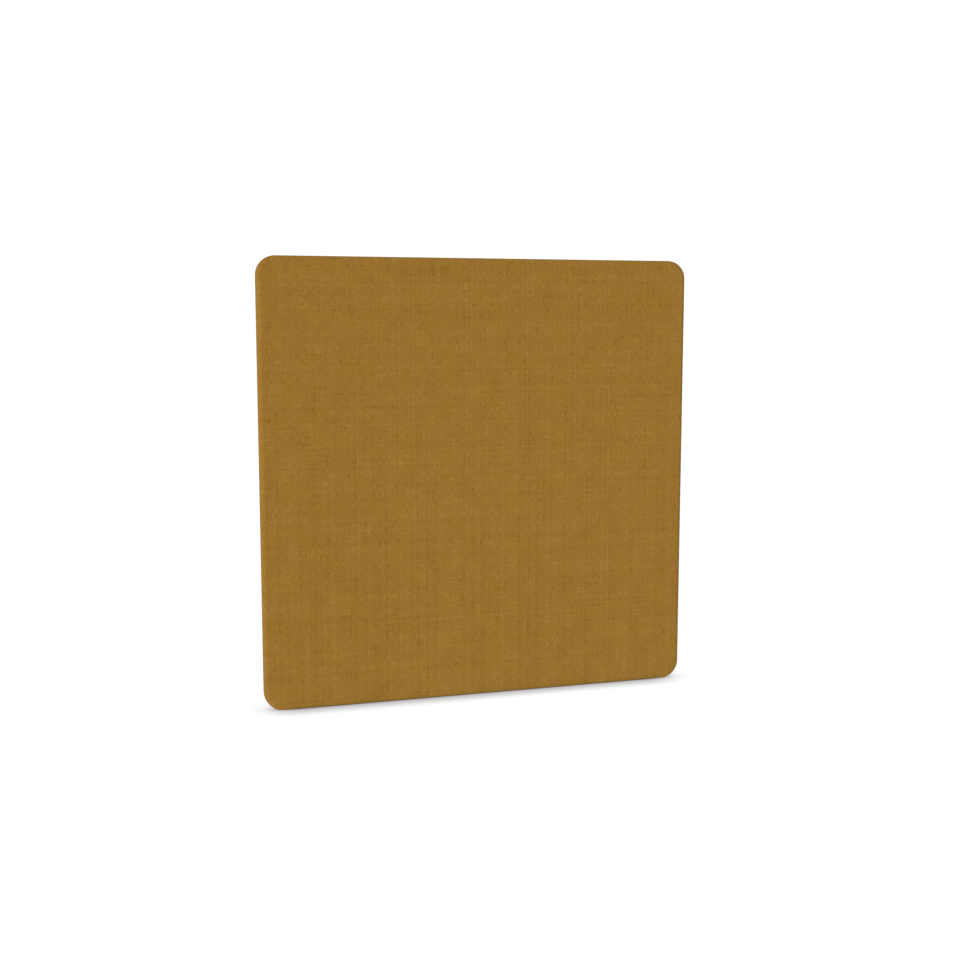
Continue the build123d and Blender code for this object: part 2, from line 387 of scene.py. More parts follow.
def cut_foam():
    """Open-cell foam: cream, fully matt, with pores 0.6 mm across, whose hollows are darker as
    painted shade.
    """
    material, tree, surface = new_material("open_cell_foam")
    place = add(tree, "TexCoord").outputs["Object"]
    pores = add(tree, "TexVoronoi", {"Vector": place, "Scale": 1600})
    # painted shade: the pores' hollows darker than the walls between them
    share = add(tree, "MapRange", {0: pores.outputs["Distance"], 1: 0.1, 2: 0.6})
    colour = add(
        tree, "Mix", {0: share.outputs[0], 6: linear("#A79F8C"), 7: linear("#D3CDBE")},
        data_type="RGBA",
    )
    relief = add(
        tree, "Bump",
        {"Height": pores.outputs["Distance"], "Strength": 0.6, "Distance": 0.0004},
    )
    shader = add(
        tree, "BsdfPrincipled",
        {"Base Color": colour.outputs[2], "Roughness": 1.0, "Normal": relief.outputs[0]},
    )
    tree.links.new(shader.outputs[0], surface)
    return material


def shoulder(inset):
    """The edge's profile, at a distance inside the outer face of the cloth, as reach and
    depth from the flat face to 8 mm below it.

    It is the running sum of (cos, -sin) of its angle to the face. The angle grows to 28
    degrees in the first tenth of its length, stays there over the bevel of the foam, and
    grows to 90 degrees round the arris of the timber. The inset goes square to it."""
    drop, kept_every = 0.008, 10
    length = np.linspace(0, 1, 241)
    angle = np.interp(length, [0, 0.09, 0.57, 1], np.radians([0, 28, 28, 90]))
    mean = (angle[1:] + angle[:-1]) / 2
    across, down = (np.concatenate([[0], np.cumsum(f(mean))]) for f in (np.cos, np.sin))
    size = drop / down[-1]
    reach = panel_radius + size * (across - across[-1]) - inset * np.sin(angle)
    depth = half_depth - size * down - inset * np.cos(angle)
    return reach[::kept_every], depth[::kept_every]


def foam_sheet(name, side):
    """A sheet from the frame's face, 14 mm off the middle plane, to 19 mm. Its edge
    follows the shoulder as far down as the sheet is thick, 1 mm inside the cloth's outer
    face, then turns back along the timber with a knife-cut arris of 0.4 mm."""
    face, back, inset, arris = 0.019, 0.014, 0.001, 0.0004
    core, normal = rim_path(
        half_panel - inset, inset, panel_height - inset, panel_radius - inset, 0.04, 16
    )
    reach, depth = shoulder(inset)
    reach, depth = reach[depth > back + arris], depth[depth > back + arris]
    # a guard row on each flat, 2 and 3 mm in, keeps its shading flat
    reach = np.concatenate([[reach[0] - 0.002], reach, [reach[-1] - arris, reach[-1] - 0.003]])
    depth = np.concatenate([[face], depth, [back, back]])
    rim = carried(core, normal, reach[:, None], side * depth[:, None])
    shares = np.linspace(0.05, 0.95, 7)
    rows = np.concatenate([shrunk(rim[0], shares), rim, shrunk(rim[-1], shares[::-1])])
    return closed_piece(name, rows)


foam = cut_foam()
for face_name, side in (("front", -1), ("back", 1)):
    sheet = foam_sheet(f"foam_sheet_{face_name}", side)
    sheet.data.materials.append(foam)
    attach(sheet, "panel")
    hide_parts(f"{face_name}_foam")


# ---- Cloth cover ----
# Two pieces of mustard woven wool, 0.8 mm thick, sewn together along the middle of the
# edge and pulled tight over the foam. Under the bottom rail the seam is left open, and
# each piece has a tail there that turns up into the rebate, where it is stapled.

cloth, edge_step, corner_steps = 0.0008, 0.01, 40
# the seam: its allowance, how far that lifts the cloth and over what width and height
# the lift comes in, and the depth and half the width of the valley
seam_allowance, seam_lift, lift_ramp, lift_height = 0.0075, 0.0006, 0.0025, 0.004
seam_dip, seam_lip = 0.0007, 0.0016
# the puckers: their height, number round, and place and spread from the seam
pucker_height, puckers_round, pucker_middle, pucker_spread = 0.00022, 36, 0.0045, 0.003
tail_foot, tail_roof, rebate_end, tail_start = 0.0070, 0.0040, 0.5190, 0.5165


def offset_inwards(reach, depth, distance):
    """A profile moved by a distance to its inner side. Each point moves square to the
    mean direction of the profile through it, by more where the profile bends."""
    line = np.stack([reach, depth], -1)
    ahead = np.diff(line, axis=0)
    ahead /= np.maximum(np.linalg.norm(ahead, axis=-1, keepdims=True), 1e-9)
    before = np.concatenate([ahead[:1], ahead])
    after = np.concatenate([ahead, ahead[-1:]])
    mean = before + after
    mean /= np.linalg.norm(mean, axis=-1, keepdims=True)
    square = np.stack([-mean[..., 1], mean[..., 0]], -1)
    moved = line + square * distance / np.maximum((mean * after).sum(-1, keepdims=True), 0.6)
    return moved[..., 0], moved[..., 1]


def bored(piece, holes):
    """Cuts upright round holes, given as (x, radius), through the lower edge of a piece,
    each with a 48-sided cylinder that reaches 20 mm up and down. The cutters' empty
    material slot goes, and edges that bend by more than 50 degrees get crisp."""
    depth, around = 0.02, 48
    turn = np.linspace(0, 2 * math.pi, around + 1)[:-1]
    for number, (x, radius) in enumerate(holes):
        ring = np.stack([x + radius * np.cos(turn), radius * np.sin(turn), 0 * turn], -1)
        ends = np.stack([ring - [0, 0, depth], ring + [0, 0, depth]])
        cutter = closed_piece(f"cutter_{number}", ends)
        cut = piece.modifiers.new("hole", "BOOLEAN")
        cut.operation, cut.solver, cut.object = "DIFFERENCE", "EXACT", cutter
        graph = bpy.context.evaluated_depsgraph_get()
        cut_mesh = bpy.data.meshes.new_from_object(piece.evaluated_get(graph))
        piece.modifiers.clear()
        piece.data = cut_mesh
        bpy.data.objects.remove(cutter)
    piece.data.materials.clear()
    # the holes' rims are crisp, so the flat round them is shaded flat
    piece.data.set_sharp_from_angle(angle=math.radians(50))
    return piece


def half_cover(name, side):
    """One half of the cover, as a closed skin 0.8 mm thick.

    The outer profile runs from the flat face down the shoulder, 10 mm wide and 8 mm
    deep, and along the edge to the seam. Near the seam the two turned-in allowances
    lift the cloth by 0.6 mm, except underneath, where the screen's weight presses it
    flat, and the stitches draw the last 1.6 mm down into a valley, deepest at the seam.
    At the four corners the cloth draws up into puckers: a sine of 36 times the angle
    round, strongest halfway round the corner and fading off to both sides of a line near
    the seam. In the rebate the last part of the profile turns up instead: a wall, then a
    flat tail. The change from one to the other takes 2.5 mm. The inner profile is the
    outer one moved inwards by the cloth's thickness. The pattern's coordinates are the
    distance along the cloth from the panel's centre."""
    core, normal = rim_path(half_panel, 0.0, panel_height, panel_radius, edge_step, corner_steps)
    lower = (np.abs(normal[:, 0]) < 1e-9) & (normal[:, 1] < 0)
    # more columns where the tail begins, from 1 mm before it to 1 mm past the rebate
    fine = np.linspace(tail_start - 0.001, rebate_end + 0.001, 12)
    run_x = np.sort(np.concatenate([core[lower, 0], fine, -fine]))
    run = np.stack([run_x, np.full(len(run_x), panel_radius)], -1)
    core = np.concatenate([run, core[~lower]])
    normal = np.concatenate([np.tile([0.0, -1.0], (len(run), 1)), normal[~lower]])

    first_reach, first_depth = shoulder(0)
    # from the end of the round edge to the seam, in 16 steps
    to_seam = np.array([
        10.6, 9.6, 8.8, 8.0, 7.2, 6.4, 5.6, 4.8, 4.0, 3.2, 2.4, 1.7, 1.1, 0.6, 0.25, 0.06,
    ]) / 1000
    # the lift begins 1 mm before the allowance does
    rise = np.clip((seam_allowance + 0.001 - to_seam) / lift_ramp, 0, 1)
    rise = seam_lift * rise * rise * (3 - 2 * rise)
    dip = seam_dip * (1 - np.clip(to_seam / seam_lip, 0, 1)) ** 2
    # the same 16 steps into the rebate: round the foot, up the wall and along the tail
    turn = np.linspace(0, math.pi / 2, 5)
    foot, top = 0.0009, 0.0002
    tail_depth = np.concatenate([
        [0.0100], tail_foot + foot * (1 - np.sin(turn)), [tail_foot, tail_foot],
        tail_foot - top * (1 - np.cos(turn[::2])), [0.0060, 0.0045, 0.0030, 0.0015, 0.00025],
    ])
    tail_rise = np.concatenate([
        [0.0], foot * (1 - np.cos(turn)), [0.0018, 0.0029],
        tail_roof - top * (1 - np.sin(turn[::2])), np.full(5, tail_roof),
    ])
    share = np.clip((rebate_end - np.abs(core[:, 0])) / (rebate_end - tail_start), 0, 1)
    share = np.where(np.arange(len(core)) < len(run), share * share * (3 - 2 * share), 0.0)
    clear = np.clip((core[:, 1] + panel_radius * normal[:, 1]) / lift_height, 0, 1)
    arc = np.unwrap(np.arctan2(normal[:, 1], normal[:, 0]))
    pucker = pucker_height * np.abs(np.sin(2 * arc)) * np.sin(puckers_round * arc + side) * clear
    puckers = np.exp(-((to_seam - pucker_middle) / pucker_spread) ** 2)
    seam_reach = panel_radius + rise[:, None] * clear - dip[:, None] + puckers[:, None] * pucker
    edge_reach = (1 - share) * seam_reach + share * (panel_radius - tail_rise[:, None])
    edge_depth = (1 - share) * to_seam[:, None] + share * tail_depth[:, None]
    # a guard row 1.5 mm inside the shoulder keeps the flat face's shading flat
    first_reach = np.concatenate([[first_reach[0] - 0.0015], first_reach])
    first_depth = np.concatenate([[half_depth], first_depth])
    columns = len(core)
    reach = np.concatenate([np.tile(first_reach[:, None], (1, columns)), edge_reach])
    depth = np.concatenate([np.tile(first_depth[:, None], (1, columns)), edge_depth])
    inner_reach, inner_depth = offset_inwards(reach, depth, -cloth)
    outer = carried(core, normal, reach, side * depth)
    inner = carried(core, normal, inner_reach, side * inner_depth)
    shares = np.array([0.05, 0.3, 0.55, 0.8, 0.95])
    rows = np.concatenate([
        shrunk(outer[0], shares), outer, inner[::-1], shrunk(inner[0], shares[::-1]),
    ])
    stride = np.hypot(np.diff(reach, axis=0), np.diff(depth, axis=0))
    along = np.concatenate([np.zeros((1, columns)), np.cumsum(stride, 0)]) + reach[0]
    spread = core + along[..., None] * normal
    centre_row = spread[0]
    middle = (centre_row.min(0) + centre_row.max(0)) / 2
    inside = middle + shares[:, None, None] * (centre_row - middle)
    uv = np.concatenate([inside, spread, spread[::-1], inside[::-1]])
    return closed_piece(name, rows, uv)


def woven_wool():
    """Plain-woven wool, mustard, from flat spun yarns of uneven thickness.

    Warp and weft cross every 1.5 mm, which is finer than the picture's pixels, so what
    shows are the slubs: thick and thin places of the yarns. They are drawn as streaks
    3 mm wide and 17 mm long along the warp, the same along the weft, knots of 4 mm, faint
    lines that run the cloth's whole length and vague patches 60 mm across. A thick place
    looks paler, and a thin one shows the shadow between the yarns, painted into the colour.
    Between the yarns the colour is also darkened as painted shade, and their crowns are
    lightened as a faint painted highlight. The dye drifts, over 60 mm or so, between a
    yellower and a redder mustard. Wool is matt, with a faint fuzz that catches light at a
    grazing angle."""
    yarn = 0.0015
    material, tree, surface = new_material("woven_wool_mustard")
    place = add(tree, "UVMap", uv_map="cloth").outputs[0]
    parts = add(tree, "SeparateXYZ", {0: place})
    # the yarns: a rounded ridge across each, warp over weft in every other cell
    warp_turn = add(tree, "Math", {0: parts.outputs[0], 1: math.pi / yarn}, operation="MULTIPLY")
    weft_turn = add(tree, "Math", {0: parts.outputs[1], 1: math.pi / yarn}, operation="MULTIPLY")
    warp_wave = add(tree, "Math", {0: warp_turn.outputs[0]}, operation="SINE")
    weft_wave = add(tree, "Math", {0: weft_turn.outputs[0]}, operation="SINE")
    crossing = add(
        tree, "Math", {0: warp_wave.outputs[0], 1: weft_wave.outputs[0]},
        operation="MULTIPLY",
    )
    over = add(tree, "MapRange", {0: crossing.outputs[0], 1: -0.25, 2: 0.25})
    warp_ridge = add(tree, "Math", {0: warp_wave.outputs[0]}, operation="ABSOLUTE")
    weft_ridge = add(tree, "Math", {0: weft_wave.outputs[0]}, operation="ABSOLUTE")
    ridge = add(
        tree, "Mix", {0: over.outputs[0], 2: weft_ridge.outputs[0], 3: warp_ridge.outputs[0]},
        data_type="FLOAT",
    )
    # slubs: noise stretched along the warp or the weft, as places per metre across and
    # along the warp, and its share of the way from shadow to pale. The fourth number
    # raises the share with the noise's own size, so that few places stand out
    slubs = (
        (290, 60, 0.1, 2.7), (55, 290, 0.07, 1.8), (260, 250, 0.1, 3.3),
        (150, 0.5, 0.4, 0), (0.5, 140, 0.28, 0), (18, 16, 0.27, 0),
    )
    # each crossing shows one short float of yarn, which has one tone all over
    float_at = add(tree, "VectorMath", {0: place, 1: [yarn] * 3}, operation="SNAP")
    unevenness = 0.0
    for across, along, share, growth in slubs:
        # a shift by a metre puts the point that all six patterns share off the cloth
        at = add(
            tree, "Mapping",
            {"Vector": float_at.outputs[0], "Scale": [across, along, 1],
             "Location": [across, along, 0]},
        )
        noise = add(
            tree, "TexNoise", {"Vector": at.outputs[0], "Scale": 1, "Detail": 1},
            noise_dimensions="2D",
        )
        swing = add(tree, "Math", {0: noise.outputs["Fac"], 1: 0.5}, operation="SUBTRACT")
        size = add(tree, "Math", {0: swing.outputs[0]}, operation="ABSOLUTE")
        gain = add(
            tree, "Math", {0: size.outputs[0], 1: growth, 2: share},
            operation="MULTIPLY_ADD",
        )
        unevenness = add(
            tree, "Math", {0: swing.outputs[0], 1: gain.outputs[0], 2: unevenness},
            operation="MULTIPLY_ADD",
        ).outputs[0]
    # the slubs crowd in some places, 30 mm across, and are faint between them
    crowd = add(
        tree, "TexNoise", {"Vector": place, "Scale": 34, "Detail": 1}, noise_dimensions="2D"
    )
    crowding = add(tree, "MapRange", {0: crowd.outputs["Fac"], 1: 0.35, 2: 0.65, 3: 0.55, 4: 1.45})
    tone = add(
        tree, "Math", {0: unevenness, 1: crowding.outputs[0], 2: 0.5}, operation="MULTIPLY_ADD"
    ).outputs[0]
    yarns = add(
        tree, "Mix", {0: tone, 6: linear("#866013"), 7: linear("#A57D3A")},
        data_type="RGBA", clamp_factor=False,
    )
    # painted shade between the yarns, down to 0.88, and a faint painted highlight on their crowns,
    # up to 1.06
    yarn_gap_shade = add(tree, "MapRange", {0: ridge.outputs[0], 3: 0.88, 4: 1.06})
    woven = add(
        tree, "Mix", {0: 1.0, 6: yarns.outputs[2], 7: yarn_gap_shade.outputs[0]},
        data_type="RGBA", blend_type="MULTIPLY",
    )
    # the dye's drift
    dye = add(
        tree, "TexNoise", {"Vector": place, "Scale": 16, "Detail": 3, "Roughness": 0.6},
        noise_dimensions="2D",
    )
    drift = add(tree, "MapRange", {0: dye.outputs["Fac"], 1: 0.3, 2: 0.7})
    dyed = add(
        tree, "Mix", {0: drift.outputs[0], 6: linear("#FFFFE4"), 7: linear("#FFF9FF")},
        data_type="RGBA",
    )
    colour = add(
        tree, "Mix", {0: 1.0, 6: woven.outputs[2], 7: dyed.outputs[2]},
        data_type="RGBA", blend_type="MULTIPLY",
    )
    relief = add(tree, "Bump", {"Height": ridge.outputs[0], "Strength": 0.35, "Distance": 0.0003})
    shader = add(
        tree, "BsdfPrincipled",
        {"Base Color": colour.outputs[2], "Roughness": 0.9, "IOR": 1.45,
         "Specular IOR Level": 0.25, "Sheen Weight": 0.12, "Sheen Roughness": 0.45,
         "Sheen Tint": linear("#D9B878"), "Normal": relief.outputs[0]},
    )
    tree.links.new(shader.outputs[0], surface)
    return material


wool = woven_wool()
glide_x, pad_hole_radius = 0.470, 0.0106
pad_holes = [(x, pad_hole_radius) for x in (-glide_x, glide_x)]
bolt_holes = [(x, 0.0045) for x in (-0.382, -0.318, 0.318, 0.382)]
for face_name, side in (("front", -1), ("back", 1)):
    cover = bored(half_cover(f"cloth_{face_name}", side), pad_holes + bolt_holes)
    cover.data.materials.append(wool)
    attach(cover, "panel")
    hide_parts(f"{face_name}_cover")


# ---- Seam thread ----
# Twisted polyester thread that sews the two halves together from outside, one slanted
# stitch every 3.3 mm across the seam's valley, all round but for the rebate.

def seam_stitches(name):
    """Each stitch is a six-sided tube along a line across the valley: out of the cloth
    1.3 mm to one side of the seam, over both lips, and into the cloth on the other side.
    It leans by 0.6 mm, and both the lean and the spacing vary a little. Underneath, the
    thread is pressed into the cloth, level with it."""
    thread_radius, spacing, lean, from_rebate = 0.00024, 0.0033, 0.0003, 0.002
    spacing_spread, lean_spread = 0.00012, 0.00006
    rings, around, overlap = 7, 6, 12
    core, normal = rim_path(half_panel, 0.0, panel_height, panel_radius, edge_step, corner_steps)
    # once round, and on over the start, so that the run underneath is whole
    core, normal = (np.concatenate([path, path[:overlap]]) for path in (core, normal))
    outline = core + panel_radius * normal
    length = np.concatenate([[0.0], np.cumsum(np.linalg.norm(np.diff(outline, axis=0), axis=1))])
    angle = np.unwrap(np.arctan2(normal[:, 1], normal[:, 0]))
    start = rebate_end + from_rebate - outline[0, 0]
    end = length[-overlap] - outline[0, 0] - rebate_end - from_rebate
    count = int((end - start) / spacing)
    draw = np.random.default_rng(5)
    middle = np.linspace(start, end, count) + draw.normal(0, spacing_spread, count)
    # seven rings across the seam: where they are, and how high over the cloth's edge
    side = np.array([-1.3, -1.0, -0.55, 0.0, 0.55, 1.0, 1.3]) / 1000
    proud = np.array([0.30, 0.50, 0.50, 0.44, 0.50, 0.50, 0.30]) / 1000
    pressed = np.array([-0.40, -0.28, -0.30, -0.34, -0.30, -0.28, -0.40]) / 1000
    slant = (lean + draw.normal(0, lean_spread, count))[:, None] * side / side[-1]
    at = middle[:, None] + slant
    heading = np.interp(at, length, angle)
    out = np.stack([np.cos(heading), np.sin(heading)], -1)
    along = np.stack([-out[..., 1], out[..., 0]], -1)
    foot = np.stack([np.interp(at, length, core[:, i]) for i in (0, 1)], -1)
    clear = np.clip((foot[..., 1] + panel_radius * out[..., 1]) / lift_height, 0, 1)
    height = panel_radius + clear * proud + (1 - clear) * pressed
    centre = foot + height[..., None] * out
    turn = np.linspace(0, 2 * math.pi, around + 1)[:-1]
    flat = (
        centre[:, :, None] + thread_radius * np.cos(turn)[:, None] * out[:, :, None]
        + thread_radius * np.sin(turn)[:, None] * along[:, :, None]
    )
    depth = np.broadcast_to(side[:, None], flat.shape[:-1])
    points = np.stack([flat[..., 0], depth, flat[..., 1]], -1).reshape(-1, 3)
    first = np.arange(count)[:, None, None] * rings * around
    tubes = (first + ring_quads(rings, around)).reshape(-1, 4)
    ring = np.arange(around)
    last = ring + (rings - 1) * around
    ends = (first + np.stack([ring[::-1], last])).reshape(-1, around)
    uv = np.stack(np.broadcast_arrays((at + side)[:, :, None], turn / (2 * math.pi)), -1)
    return piece_from(name, points, [tubes, ends], uv.reshape(-1, 2))


def twisted_thread():
    """Polyester sewing thread, a little darker than the wool. Its three plies wind once
    round in 0.9 mm, as fine grooves across it, darker in the grooves and paler on the
    plies as painted shade, and the fibre has a soft gloss. The first of its two
    coordinates is the length along the thread, the second the share of a turn."""
    plies, twist_length = 3, 0.0009
    material, tree, surface = new_material("twisted_polyester_thread")
    place = add(tree, "UVMap", uv_map="cloth").outputs[0]
    parts = add(tree, "SeparateXYZ", {0: place})
    along = add(tree, "Math", {0: parts.outputs[0], 1: 1 / twist_length}, operation="MULTIPLY")
    twist = add(tree, "Math", {0: parts.outputs[1], 1: along.outputs[0]})
    per_turn = 2 * math.pi * plies
    turns = add(tree, "Math", {0: twist.outputs[0], 1: per_turn}, operation="MULTIPLY")
    groove = add(tree, "Math", {0: turns.outputs[0]}, operation="SINE")
    # painted shade: the grooves between the plies darker, their crowns paler
    share = add(tree, "MapRange", {0: groove.outputs[0], 1: -1, 2: 1})
    colour = add(
        tree, "Mix", {0: share.outputs[0], 6: linear("#7C5A1C"), 7: linear("#9A7430")},
        data_type="RGBA",
    )
    relief = add(tree, "Bump", {"Height": groove.outputs[0], "Strength": 0.4, "Distance": 0.0001})
    shader = add(
        tree, "BsdfPrincipled",
        {"Base Color": colour.outputs[2], "Roughness": 0.55, "IOR": 1.55,
         "Normal": relief.outputs[0]},
    )
    tree.links.new(shader.outputs[0], surface)
    return material


stitches = seam_stitches("cover_seam_thread")
stitches.data.materials.append(twisted_thread())
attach(stitches, "panel")


# ---- Staples and glide sleeves ----
# Zinc-plated steel wire staples hold the cloth's tails in the rebate, and zinc-plated
# sleeves in the rail carry the glides. The CAD solids have the right shape and stay.

def zinc_plated_steel():
    """Zinc-plated steel: a bright, slightly bluish metal. The plating is a little cloudy
    in patches of a few millimetres, and a fine grain keeps its reflections soft."""
    material, tree, surface = new_material("zinc_plated_steel")
    place = add(tree, "TexCoord").outputs["Object"]
    clouds = add(tree, "TexNoise", {"Vector": place, "Scale": 260, "Detail": 4, "Roughness": 0.6})
    grain = add(tree, "TexNoise", {"Vector": place, "Scale": 4200, "Detail": 2})
    share = add(tree, "MapRange", {0: clouds.outputs["Fac"], 1: 0.3, 2: 0.7})
    colour = add(
        tree, "Mix", {0: share.outputs[0], 6: linear("#B4B9BF"), 7: linear("#D0D2D2")},
        data_type="RGBA",
    )
    gloss = add(tree, "MapRange", {0: clouds.outputs["Fac"], 1: 0.3, 2: 0.7, 3: 0.26, 4: 0.42})
    relief = add(
        tree, "Bump",
        {"Height": grain.outputs["Fac"], "Strength": 0.12, "Distance": 0.00005},
    )
    shader = add(
        tree, "BsdfPrincipled",
        {"Base Color": colour.outputs[2], "Metallic": 1.0, "Roughness": gloss.outputs[0],
         "Normal": relief.outputs[0]},
    )
    tree.links.new(shader.outputs[0], surface)
    return material


zinc = zinc_plated_steel()
dress(["cover_staples", "glide_sleeves"], zinc)


# ---- Closing strip ----
# Black felt, 3 mm thick, cut in three lengths and pressed into the rebate over the
# staples. Round holes let the glides' pads and a foot's bolts through.

def felt_strip(name, start, end):
    """A length of strip. Its section is a rectangle, 13.6 by 3 mm, with arrises of
    0.5 mm radius, carried along X. Each end is a function of Y: straight, or the arc of
    a pad hole round x = 470 mm. The end face is the section drawn in to its middle."""
    half_width, low, high, arris = 0.0068, 0.0002, 0.0032, 0.0005
    arc_points, run_steps, end_rounding = 5, 60, 0.0003
    bend = np.linspace(0, math.pi / 2, arc_points)
    turns = (np.arange(4)[:, None] * math.pi / 2 + bend).ravel()
    # the middle of each arc tells which corner it rounds
    corner = np.repeat(turns[arc_points // 2::arc_points], arc_points)
    across = np.sign(np.cos(corner)) * (half_width - arris) + arris * np.cos(turns)
    up = np.sign(np.sin(corner)) * ((high - low) / 2 - arris) + arris * np.sin(turns)
    section = np.stack([across, up], -1)
    draw_in = (0.05, 0.5, 0.93)
    inner = [section * share for share in draw_in]
    sections = np.stack([*inner, *[section] * run_steps, *inner[::-1]])
    face = len(draw_in)
    run = np.linspace(0.0, 1.0, run_steps)
    share = np.concatenate([np.zeros(face), run, np.ones(face)])[:, None]
    rounding = np.zeros_like(share)
    rounding[[face, -face - 1]] = end_rounding
    from_x, to_x = start(sections[..., 0]), end(sections[..., 0])
    x = from_x + share * (to_x - from_x) + np.where(share < 0.5, rounding, -rounding)
    middle = (low + high) / 2
    return closed_piece(name, np.stack([x, sections[..., 0], middle + sections[..., 1]], -1))


def hole_arc(centre, side):
    """The edge of a pad hole as a function of Y, on one side of its centre."""
    return lambda y: centre + side * np.sqrt(pad_hole_radius ** 2 - y ** 2)


def straight_cut(x):
    """A cut square across the strip, as a function of Y."""
    return lambda y: np.full_like(y, x)


black_felt = needled_felt("needled_black_felt", "#1B1A19", "#3C3A38")
strip_end = 0.5135
strip_lengths = {
    "left": (straight_cut(-strip_end), hole_arc(-glide_x, -1)),
    "middle": (hole_arc(-glide_x, 1), hole_arc(glide_x, -1)),
    "right": (hole_arc(glide_x, 1), straight_cut(strip_end)),
}
for side_name, (start, end) in strip_lengths.items():
    strip = felt_strip(f"felt_strip_{side_name}", start, end)
    if side_name == "middle":
        strip = bored(strip, bolt_holes)
    strip.data.materials.append(black_felt)
    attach(strip, "panel")
    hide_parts("closing_strip")


# ---- Foot inserts ----
# Four zinc-plated M8 screw-in inserts for the feet, turned from steel: a coarse thread
# outside bites into the rail, and the bore has the standard 1.25 mm thread.

def thread_depth(angle, z, pitch):
    """The share of a right-hand thread's depth, from 0 at the root to 1 at the crest, at
    an angle and a height: a triangle wave of (z / pitch - angle / turn), with a tenth of
    its height cut off flat at the top and at the bottom."""
    cut_off = 0.1
    phase = (z / pitch - angle / (2 * math.pi)) % 1.0
    return np.clip((2 * np.abs(phase - 0.5) - cut_off) / (1 - 2 * cut_off), 0, 1)


def threaded_insert(name, x):
    """A ring whose section runs up its bore and down its outside. The bore's radius is
    between 3.4 and 4.0 mm, the outside between 5.7 and 6.5 mm, with chamfered ends."""
    low, high, around = 0.005, 0.023, 36
    bore_root, bore_thread, bore_pitch, bore_mouth = 0.0040, 0.0006, 0.00125, 0.0042
    skin_root, skin_thread, skin_pitch, skin_end = 0.0057, 0.0008, 0.003, 0.0054
    angle = np.linspace(0, 2 * math.pi, around + 1)[:-1]
    bore_z = np.linspace(low, high, 130)[:, None]
    skin_z = np.linspace(high, low, 52)[:, None]
    from_end = np.minimum(bore_z - low, high - bore_z)
    bore = bore_root - bore_thread * thread_depth(angle, bore_z, bore_pitch)
    bore = np.maximum(bore, bore_mouth - from_end)
    from_end = np.minimum(skin_z - low, high - skin_z)
    skin = skin_root + skin_thread * thread_depth(angle, skin_z, skin_pitch)
    skin = np.minimum(skin, skin_end + from_end)
    radius = np.concatenate([bore, skin])
    z = np.broadcast_to(np.concatenate([bore_z, skin_z]), radius.shape)
    rows = np.stack([x + radius * np.cos(angle), radius * np.sin(angle), z], -1)
    return piece_from(name, rows.reshape(-1, 3), [ring_quads(len(rows), around, joined=True)])


for number, (x, _) in enumerate(bolt_holes):
    insert = threaded_insert(f"threaded_insert_{number + 1}", x)
    insert.data.materials.append(zinc)
    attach(insert, "panel")
    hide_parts("foot_inserts")


# ---- Glides ----
# Two levelling glides: a zinc-plated steel stem with an M8 thread, a hexagon for the
# spanner and a flange, and a black nylon pad that snaps over the flange.

def glide_stem(name, x):
    """A stem as rings of points, radius over angle and height. The hexagon's radius is
    6.5 mm over the cosine of the angle from the nearest flat's middle, cut by 30 degree
    cones above and below. The shank's thread goes from 3.4 to 4.0 mm, less at its run-out
    over the hexagon and at the chamfered tip."""
    around = 48
    hex_low, hex_high, to_flat, cone_start = 0.0048, 0.0088, 0.0065, 0.0062
    root, thread, pitch, run_out_start = 0.0034, 0.0006, 0.00125, 0.0096
    tip, tip_radius = 0.0388, 0.0032
    angle = np.linspace(0, 2 * math.pi, around + 1)[:-1]
    # the flange and the neck over it, as heights and radii in mm
    plain = [(1.5, 6.8), (1.7, 7.0), (3.1, 7.0), (3.3, 6.8), (3.3, 5.0), (4.8, 5.0)]
    plain_z, plain_radius = np.array(plain).T[..., None] / 1000
    from_flat = (angle % (math.pi / 3)) - math.pi / 6
    hex_z = np.array([4.8, 5.0, 5.2, 5.45, 5.7, 7.9, 8.15, 8.4, 8.6, 8.8])[:, None] / 1000
    to_face = np.minimum(hex_z - hex_low, hex_high - hex_z)
    hex_radius = np.minimum(to_flat / np.cos(from_flat), cone_start + to_face * math.sqrt(3))
    shank_z = np.linspace(hex_high, tip, 230)[:, None]
    shank = root + thread * thread_depth(angle, shank_z, pitch)
    run_out = root + 0.6 * np.clip(shank_z - run_out_start, 0, None)
    shank = np.minimum(shank, np.minimum(run_out, tip_radius + (tip - shank_z)))
    radius = np.concatenate([np.tile(plain_radius, (1, around)), hex_radius, shank])
    z = np.broadcast_to(np.concatenate([plain_z, hex_z, shank_z]), radius.shape)
    rows = np.stack([x + radius * np.cos(angle), radius * np.sin(angle), z], -1)
    return closed_piece(name, rows)


def moulded_nylon():
    """Injection-moulded nylon, black: a fine spark-eroded grain, a semi-matt skin, and
    slightly greyer where the grain is rubbed."""
    material, tree, surface = new_material("moulded_black_nylon")
    place = add(tree, "TexCoord").outputs["Object"]
    grain = add(tree, "TexNoise", {"Vector": place, "Scale": 2600, "Detail": 3, "Roughness": 0.6})
    rubbed = add(tree, "TexNoise", {"Vector": place, "Scale": 180, "Detail": 2})
    share = add(tree, "MapRange", {0: rubbed.outputs["Fac"], 1: 0.4, 2: 0.75})
    colour = add(
        tree, "Mix", {0: share.outputs[0], 6: linear("#1A1A1B"), 7: linear("#2E2E2F")},
        data_type="RGBA",
    )
    gloss = add(tree, "MapRange", {0: rubbed.outputs["Fac"], 1: 0.3, 2: 0.7, 3: 0.42, 4: 0.58})
    relief = add(
        tree, "Bump",
        {"Height": grain.outputs["Fac"], "Strength": 0.3, "Distance": 0.0001},
    )
    shader = add(
        tree, "BsdfPrincipled",
        {"Base Color": colour.outputs[2], "Roughness": gloss.outputs[0], "IOR": 1.53,
         "Normal": relief.outputs[0]},
    )
    tree.links.new(shader.outputs[0], surface)
    return material


